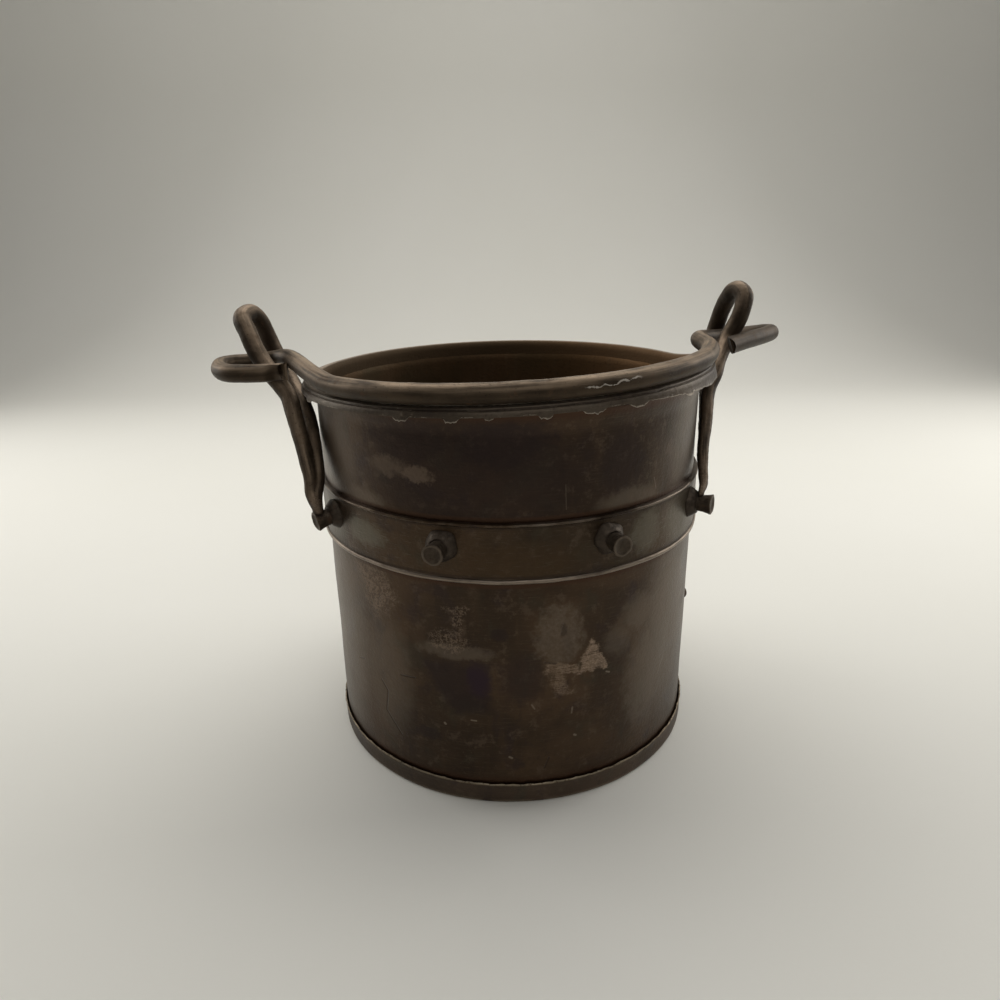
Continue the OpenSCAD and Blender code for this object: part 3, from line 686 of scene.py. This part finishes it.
def bar(line, sides):
    """A round bar: a circle extruded and turned step by step along a line of (place, radius). Its skin
    keeps the way along the bar and round it, in millimetres, for the marks of drawing and forging."""
    bm = bmesh.new()
    heading = (line[1][0] - line[0][0]).normalized()
    start = Matrix.Translation(line[0][0]) @ heading.to_track_quat("Z", "Y").to_matrix().to_4x4()
    skin = bm.verts.layers.float_vector.new("skin")
    dots = bmesh.ops.create_circle(bm, segments=sides, radius=line[0][1], matrix=start)["verts"]
    for k, v in enumerate(dots):
        round_it = math.tau * k / sides
        v[skin] = (0.0, 1000.0 * ROD_R * math.cos(round_it), 1000.0 * ROD_R * math.sin(round_it))
    rim = bm.edges[:]
    bmesh.ops.edgeloop_fill(bm, edges=rim)
    run = 0.0
    for i in range(1, len(line)):
        before, after = line[i - 1], line[i]
        new_heading = (line[min(i + 1, len(line) - 1)][0] - before[0]).normalized()
        step = (Matrix.Translation(after[0]) @ heading.rotation_difference(new_heading).to_matrix().to_4x4()
                @ Matrix.Scale(after[1] / before[1], 4) @ Matrix.Translation(-before[0]))
        made = bmesh.ops.extrude_edge_only(bm, edges=rim)["geom"]
        dots = [g for g in made if isinstance(g, bmesh.types.BMVert)]
        bmesh.ops.transform(bm, matrix=step, verts=dots)
        run += 1000.0 * (after[0] - before[0]).length
        for v in dots:
            v[skin] = (run, v[skin].y, v[skin].z)
        held = set(dots)
        rim = [g for g in made if isinstance(g, bmesh.types.BMEdge) and held.issuperset(g.verts)]
        heading = new_heading
    bmesh.ops.edgeloop_fill(bm, edges=rim)
    bmesh.ops.recalc_face_normals(bm, faces=bm.faces)
    return bm


def hammered(bm, deep, size, shift):
    """Gives iron its uneven skin: broad flats from the hammer, and smaller pits over them."""
    bm.normal_update()
    for v in bm.verts:
        at = v.co / size
        v.co += v.normal * deep * (noise.noise(at + shift) + 0.35 * noise.noise(at * 3.1 - shift))


def chiselled(bm, near, at, away, dish):
    """Cuts off the end of a bar, given its last vertices, by a plane, and dishes the raw face by a depth."""
    held = set(near)
    edges = [e for e in bm.edges if held.issuperset(e.verts)]
    faces = [face for face in bm.faces if held.issuperset(face.verts)]
    bmesh.ops.bisect_plane(bm, geom=near + edges + faces, plane_co=at, plane_no=away, clear_outer=True)
    raw = bmesh.ops.edgeloop_fill(bm, edges=[e for e in bm.edges if e.is_boundary])["faces"]
    bmesh.ops.inset_region(bm, faces=raw, thickness=0.0012, depth=-dish)


def iron(name, deep, mid, worn_and_lit, rub_and_top_light, drawn=False, scar=None):
    """Browned iron: dark in the hollows, rust-brown between, and lighter where it faces up or is touched,
    from rubbed wear and painted light from above. Drawn iron is streaked along its length. A scar gives a
    bright mark and a mask of dull iron."""
    f = Finish(name)
    at = f.place()
    up = f.node("ShaderNodeSeparateXYZ", {}, {0: f.node("ShaderNodeNewGeometry", {}, {}, "Normal")}).other(2)
    blotch, grain = f.cloud(at, 22.0, 4.0, 0.55), f.cloud(at, 2.0, 4.0, 0.6)
    skin = at
    if drawn:
        skin = f.node("ShaderNodeAttribute", {"attribute_name": "skin"}, {}, "Vector")
        skin = f.node("ShaderNodeVectorMath", {"operation": "MULTIPLY"}, {0: skin, 1: (0.07, 1.0, 1.0)})
    streak = f.cloud(skin, 3.0, 3.0, 0.55)
    pits = f.rise(f.cloud(at, 1.4, 2.0), 0.36, 0.28)
    colour = f.blend(f.rise(blotch * 0.5 + streak * 0.5, 0.36, 0.62), deep, mid)
    # Painted light: faces that point up are made lighter, together with rubbed wear.
    rubbed_and_top_lit = f.rise(up, -0.1, 1.0) * f.rise(streak + blotch * 0.4, 0.45, 0.90) * rub_and_top_light
    if scar:
        mark, dull = scar(f, at)
        rubbed_and_top_lit = rubbed_and_top_lit * (1.0 - dull)
        colour = f.blend(dull, colour, deep)
    colour = f.blend(rubbed_and_top_lit, colour, worn_and_lit)
    colour = f.blend(pits * 0.6, colour, (0.022, 0.014, 0.009))
    rust = f.rise(f.cloud(at, 9.0, 3.0, 0.6, 0.8), 0.56, 0.70) * f.rise(grain, 0.40, 0.58)
    colour = f.blend(rust * 0.30, colour, (0.12, 0.055, 0.022))
    lip = f.node("ShaderNodeAttribute", {"attribute_name": "lip"}, {}, "Fac")
    colour = f.blend(f.rise(lip + grain * 0.6, 0.6, 1.3) * 0.4, colour, worn_and_lit)
    height = grain * 0.35 + blotch * 0.6 + streak * 0.4 - pits * 0.4
    if scar:
        colour = f.blend(mark, colour, (0.54, 0.49, 0.43))
        height = height + mark * 0.5
    rough = grain * 0.16 + 0.46 - rubbed_and_top_lit * 0.05 + rust * 0.2
    return f.done(colour, rough, 0.60 - rust * 0.3, height, 0.00030, 0.30)


def flaked(f, at):
    """A white flaked scratch along the outer brow of the rod, and how dull the right-hand loop has stayed."""
    turn, high = round_wall(f, at)
    wander = f.cloud(at, 7.0, 2.0)
    flake = f.cloud(at, 1.6, 4.0, 0.7)
    middle = (turn - 16.0) * 0.16 + 259.9 + (wander - 0.5) * 6.0
    span = f.rise(turn, 15.5, 17.0) * f.rise(turn, 30.5, 28.5)
    dull = f.rise(f.node("ShaderNodeSeparateXYZ", {}, {0: at}), 124.0, 142.0) * 0.75
    return f.rise(abs(high - middle) + (flake - 0.5) * 2.4, 0.50, 0.25) * span * 0.75, dull


# Each bend of a loop, from the cut end at the left: across and out from the ear's azimuth, and over the rim.
left_loop = (
    (-35.5, 16.5, 1.3), (-36.5, 28.5, 1.7), (-36.5, 41, 2.1), (-33, 51, 2.4), (-23.5, 57, 2.7),
    (-12.5, 58.5, 3.8), (-4, 54, 3.7), (-1, 44.5, 3.4), (-0.5, 32.5, 4), (-2, 23, 5.2), (-13, 16, 6.4),
    (-25.5, 12, 6.7), (-38.5, 8.5, 5.5), (-53, 6.5, 3.7), (-68, 6, 1.9))
right_loop = (
    (-46.5, 5, 0.1), (-30, 4, 0.3), (-10, 3, 0.5), (4.5, 8.5, -0.5), (15.5, 20.5, -2.4), (22.5, 34, -3.3),
    (30, 52.5, -3.8), (31, 65.5, -3.3), (22.5, 66.5, -2.4), (12, 58, -2.1), (-5.5, 40, -1.6),
    (-19, 25.5, -1.6), (-28, 17, -1.8))
rod_marks = [by_rim(LEFT_EAR, *mark) for mark in left_loop]
for azimuth in (-48, -34, -20, -6, 8, 22, 36, 50, 62):
    x, y = RIM_R * math.sin(math.radians(azimuth)), -RIM_R * math.cos(math.radians(azimuth))
    rod_marks.append(Vector((x, y, rod_height(x))))
rod_marks += [by_rim(RIGHT_EAR, *mark) for mark in right_loop]
rod_line = flowing([(at, ROD_R - 0.0002) for at in rod_marks], 0.0016)
rod = bar(rod_line, 28)
hammered(rod, 0.00016, 0.011, Vector((1.3, 4.1, 2.2)))
# The left end was notched and snapped, which left a bite in its side; the right end was chiselled off aslant.
lip = rod.verts.layers.float.new("lip")
skin = rod.verts.layers.float_vector["skin"]
rod_length = max(v[skin].x for v in rod.verts)
left_end, right_end = rod_line[0][0], rod_line[-1][0]
left_tip_verts = [v for v in rod.verts if v[skin].x < 14.0]
bitten = Vector((0.1, -0.93, -0.35))
for v in left_tip_verts:
    v[lip] = max(0.0, 1.2 - v[skin].x / 4.0)
    deep = max(0.0, (v.co - left_end - Vector((0, 0, 0.0002))).dot(bitten))
    v.co -= bitten * deep * 0.62 * max(0.0, 1.0 - abs(v[skin].x - 6.8) / 5.6) ** 0.8
chiselled(rod, left_tip_verts, left_end + Vector((-0.0010, 0.0, 0.0)), Vector((0.78, -0.62, 0.08)), 0.0010)
for shift, away, dish in (
    (Vector((0.0026, 0.0, 0.0)), Vector((-0.95, 0.12, -0.28)), 0.0004),
    (Vector((0.0050, -0.0030, 0.0)), Vector((-0.60, -0.77, -0.20)), 0.0003),
):
    right_tip_verts = [v for v in rod.verts if v[skin].x > rod_length - 16.0]
    chiselled(rod, right_tip_verts, right_end + shift, away, dish)
rod_finish = iron(
    "worn_rod_iron", (0.032, 0.021, 0.012), (0.062, 0.042, 0.025), (0.35, 0.258, 0.175), 0.80, True, flaked)
rod_piece = object_from("bent_rod", rod, rod_finish, 50.0)
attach(rod_piece, "root")
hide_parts("rim_rod")

# ---- Ears ----
# Each ear is a hairpin of the same rod, hung over the loop. Its two legs are drawn down together in the fire,
# welded into one twisting shank, and hammered to a tip that rests on a stud of the hoop.
STUD_Z = HOOP_Z + 0.61 * HOOP_W
LEFT_STUD, RIGHT_STUD = -58.0, 62.0


def leg(ear, stud, eye, shank, tip):
    """One leg as (place, radius) marks, from the top of the hairpin down to its tip on the stud."""
    marks = [(beside(ear, across, out, RIM_Z + 0.001 * above), ROD_R) for across, out, above in eye]
    for share, across, out, thick in shank:
        height = STUD_Z + share * (RIM_Z - STUD_Z)
        marks.append((beside(stud + (ear - stud) * share, across, out, height), 0.0005 * thick))
    out, thick, rest = tip
    marks.append((beside(stud, 0.0, out, rest + 0.0022), 0.0005 * thick))
    marks.append((beside(stud, 0.0, out, rest), 0.0005 * thick))
    return marks


def hairpin(front, back, shift, foot, spread):
    """Both legs as one bar, welded where they meet by remeshing them as one lump and softening the seam.
    The foot at the bottom is hammered out flat on its stud."""
    both = bar(flowing(front[::-1] + back[1:], 0.0020), 20)
    raw = bpy.data.meshes.new("raw_hairpin")
    both.to_mesh(raw)
    skin = both.verts.layers.float_vector["skin"]
    marks = [v[skin].copy() for v in both.verts]
    places = kdtree.KDTree(len(marks))
    for v in both.verts:
        places.insert(v.co, v.index)
    places.balance()
    both.free()
    lump = bpy.data.objects.new("raw_hairpin", raw)
    bpy.context.scene.collection.objects.link(lump)
    weld = lump.modifiers.new("weld", "REMESH")
    weld.mode = "VOXEL"
    weld.voxel_size = 0.00055
    welded = bmesh.new()
    welded.from_mesh(lump.evaluated_get(bpy.context.evaluated_depsgraph_get()).to_mesh())
    bpy.data.objects.remove(lump)
    bpy.data.meshes.remove(raw)
    for _ in range(6):
        bmesh.ops.smooth_vert(
            welded, verts=welded.verts, factor=0.5, use_axis_x=True, use_axis_y=True, use_axis_z=True)
    hammered(welded, 0.00025, 0.008, shift)
    skin = welded.verts.layers.float_vector.new("skin")
    along = Vector((0, 0, 1)).cross(outward(foot))
    for v in welded.verts:
        v[skin] = marks[places.find(v.co)[1]]
        low = max(0.0, 1.0 - (v.co.z - foot.z) / 0.009)
        v.co += along * (v.co - foot).dot(along) * spread * low * low
        v.co.z = max(v.co.z, foot.z)
    bmesh.ops.recalc_face_normals(welded, faces=welded.faces)
    return welded


# A tip is how far out it lies, how thick it is, both in millimetres, and the height at which it rests. A mark
# of an eye is across, out and over the rim; one of a shank is its share of the height, across, out and thick.
LEFT_TIP = (13.5, 6.4, STUD_Z + 0.0034)
RIGHT_TIP = (9.0, 4.0, STUD_Z + 0.0054)
left_front = leg(LEFT_EAR, LEFT_STUD, (
    (-2, 41, 29), (-9, 42.5, 26), (-14.5, 39, 18), (-17.5, 35.5, 9), (-19.5, 31.5, 1)), (
    (0.9, -17.5, 24.5, 11.2), (0.79, -16.5, 17.5, 10.8), (0.68, -16.5, 15.5, 10.4), (0.58, -14.5, 14.5, 10),
    (0.47, -12.5, 13.5, 9.6), (0.36, -10, 13, 9.2), (0.25, -7, 13, 8.4), (0.14, -2.5, 14, 7.6)), LEFT_TIP)
left_back = leg(LEFT_EAR, LEFT_STUD, (
    (-2, 41, 29), (4.5, 39, 28), (9.5, 36.5, 22), (12.5, 35, 15), (14.5, 33, 7)), (
    (0.96, 17.5, 29, 11.6), (0.83, 17.5, 20.5, 11.2), (0.73, 11, 13, 10.8), (0.64, 2.5, 8, 10.4),
    (0.54, -3, 6, 10), (0.44, -5.5, 5.8, 9.2), (0.35, -6.5, 6.5, 8.8), (0.24, -5, 8, 8),
    (0.14, -3, 11, 7.2)), LEFT_TIP)
right_front = leg(RIGHT_EAR, RIGHT_STUD, (
    (8, 34, 35), (2, 35.5, 31), (0, 34, 23), (1.5, 32.5, 16), (2.5, 30.5, 11), (3, 26.5, 3)), (
    (0.95, 1, 21, 10.4), (0.89, -2.5, 16.5, 9.2), (0.81, -4, 13, 8.8), (0.72, -3, 8.5, 8.8),
    (0.63, -3, 6.5, 8.4), (0.51, -2.5, 6, 8), (0.4, -3, 5.5, 7.2), (0.31, -3.5, 5.5, 6.8),
    (0.21, -2.5, 7, 6), (0.13, -3, 8.5, 5.6)), RIGHT_TIP)
right_back = leg(RIGHT_EAR, RIGHT_STUD, (
    (8, 34, 35), (14, 32.5, 33.2), (20.5, 33, 28.6), (27, 33.2, 21), (32, 33.6, 12.5), (35, 33.4, 4)), (
    (0.95, 37, 30.5, 11.6), (0.85, 37, 25, 11.2), (0.75, 32.5, 19, 10.4), (0.66, 23.5, 12, 9.6),
    (0.57, 13.5, 8, 9.2), (0.47, 6, 5.5, 8), (0.39, 0.5, 5, 7.2), (0.29, -1, 5, 6.8),
    (0.19, -2, 7, 6), (0.12, -2.5, 8.5, 5.6)), RIGHT_TIP)
ear_finish = iron(
    "forged_ear_iron", (0.026, 0.018, 0.011), (0.056, 0.038, 0.024), (0.37, 0.272, 0.188), 0.85, True)
for name, node, front, back, shift, spread in (
    ("left_hairpin", "ear_left", left_front, left_back, Vector((8, 1, 5)), 0.45),
    ("right_hairpin", "ear_right", right_front, right_back, Vector((2, 9, 4)), 0.60),
):
    ear_piece = object_from(name, hairpin(front, back, shift, front[-1][0], spread), ear_finish, 60.0)
    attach(ear_piece, "root")
    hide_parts(node)

# ---- Studs ----
# Eight iron studs hold the hoop. Each is headed flat inside the bucket, and its outer end is burred over by
# the hammer and hollowed at the middle. The first one has been dragged down by the ear that rests on it.
STUDS = ((LEFT_STUD, 10), (-18, 0), (25, 0), (RIGHT_STUD, 0), (110, 0), (158, 0), (206, 0), (254, 0))


def stand(bm, at, azimuth, droop=0.0):
    """Turns a piece made upright at the origin to stand out from the knocked sheet at a place."""
    seat = (Matrix.Translation(at + outward(at) * knock(at))
            @ Matrix.Rotation(math.radians(azimuth), 4, "Z")
            @ Matrix.Rotation(math.radians(90 + droop), 4, "X"))
    bmesh.ops.transform(bm, matrix=seat, verts=bm.verts)
    bmesh.ops.recalc_face_normals(bm, faces=bm.faces)


def set_on_hoop(bm, azimuth, droop):
    """Stands a piece on the hoop's face at an azimuth, at the studs' height."""
    face = Vector((math.sin(math.radians(azimuth)), -math.cos(math.radians(azimuth)), 0.0)) * HOOP_R
    face.z = STUD_Z
    stand(bm, face, azimuth, droop)


stud_finish = iron("stud_iron", (0.040, 0.028, 0.019), (0.068, 0.050, 0.034), (0.19, 0.150, 0.112), 0.6)
for number, (azimuth, droop) in enumerate(STUDS, 1):
    stud = turned([
        (0.0, -0.0060), (0.0066, -0.0060), (0.0073, -0.0055), (0.0074, -0.0042), (0.0050, -0.0038),
        (0.0050, 0.0050), (0.0052, 0.0090), (0.0055, 0.0122), (0.0057, 0.0134), (0.00565, 0.0140),
        (0.0052, 0.0143), (0.0046, 0.0142), (0.0040, 0.0139), (0.0034, 0.0136), (0.0026, 0.0134),
        (0.0015, 0.0133), (0.0, 0.0133)], 40)
    lip = stud.verts.layers.float.new("lip")
    for v in stud.verts:
        v[lip] = max(0.0, (v.co.z - 0.0134) / 0.0009) if v.co.xy.length > 0.0042 else 0.0
        burr = max(0.0, (v.co.z - 0.006) / 0.0083) ** 1.5
        way = Vector((v.co.x, v.co.y, 0.0)) * 320.0 + Vector((number * 7.0, 0, 0))
        v.co.xy *= 1.0 + burr * (0.09 + 0.09 * noise.noise(way))
        v.co.z += burr * (0.0004 * noise.noise(way * 0.6) - 0.0003)
    hammered(stud, 0.00012, 0.004, Vector((number * 3.0, 1, 1)))
    set_on_hoop(stud, azimuth, droop)
    stud_piece = object_from(f"burred_stud_{number}", stud, stud_finish, 45.0)
    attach(stud_piece, "root")
    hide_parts(f"stud_{number}")

# ---- Collars ----
# Under each stud's end sits a collar beaten from scrap sheet into a low cone, so none is quite round: each
# has flats, a lifted edge and a dirty joint where it bears on the hoop.
collar_finish = iron("collar_iron", (0.032, 0.023, 0.016), (0.056, 0.041, 0.029), (0.16, 0.125, 0.095), 0.5)
for number, (azimuth, droop) in enumerate(STUDS, 1):
    collar = turned([
        (0.0051, -0.0010), (0.0092, -0.0010), (0.0094, 0.0002), (0.0090, 0.0011), (0.0080, 0.0026),
        (0.0066, 0.0045), (0.0060, 0.0049), (0.0051, 0.0050)], 56, closed=True)
    for v in collar.verts:
        turn = math.atan2(v.co.y, v.co.x)
        low = max(0.0, 1.0 - max(0.0, v.co.z) / 0.005)
        flats = 0.045 * math.cos(5.0 * turn + number) + 0.03 * math.cos(3.0 * turn + 2.0 * number)
        if v.co.xy.length > 0.0055:
            v.co.xy *= 1.0 + flats * low
            v.co.z += 0.0004 * math.cos(2.0 * turn + number) * (1.0 - low)
    hammered(collar, 0.00018, 0.004, Vector((number * 5.0, 2, 3)))
    set_on_hoop(collar, azimuth, droop)
    collar_piece = object_from(f"beaten_collar_{number}", collar, collar_finish, 45.0)
    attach(collar_piece, "root")
    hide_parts(f"collar_{number}")

# ---- Side rivet ----
# A small iron rivet with a domed head, low on the right, where something was once mended. It goes through the
# wall, and its tail is clenched flat inside.
RIVET_TURN, RIVET_Z = 84.0, 0.085
rivet = turned([
    (0.0, -0.0028), (0.0028, -0.0028), (0.0032, -0.0022), (0.0031, -0.0014), (0.0020, -0.0012),
    (0.0020, 0.0001), (0.0037, 0.0001), (0.0040, 0.0005), (0.0037, 0.0014), (0.0030, 0.0022),
    (0.0019, 0.0028), (0.0008, 0.00305), (0.0, 0.0031)], 40)
hammered(rivet, 0.00010, 0.003, Vector((4, 4, 4)))
rivet_at = beside(RIVET_TURN, 0.0, 0.0, RIVET_Z)
stand(rivet, rivet_at, RIVET_TURN)
rivet_finish = iron("rivet_metal", (0.045, 0.031, 0.020), (0.075, 0.052, 0.034), (0.20, 0.15, 0.11), 0.5)
rivet_piece = object_from("domed_rivet", rivet, rivet_finish, 45.0)
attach(rivet_piece, "root")
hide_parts("side_rivet")
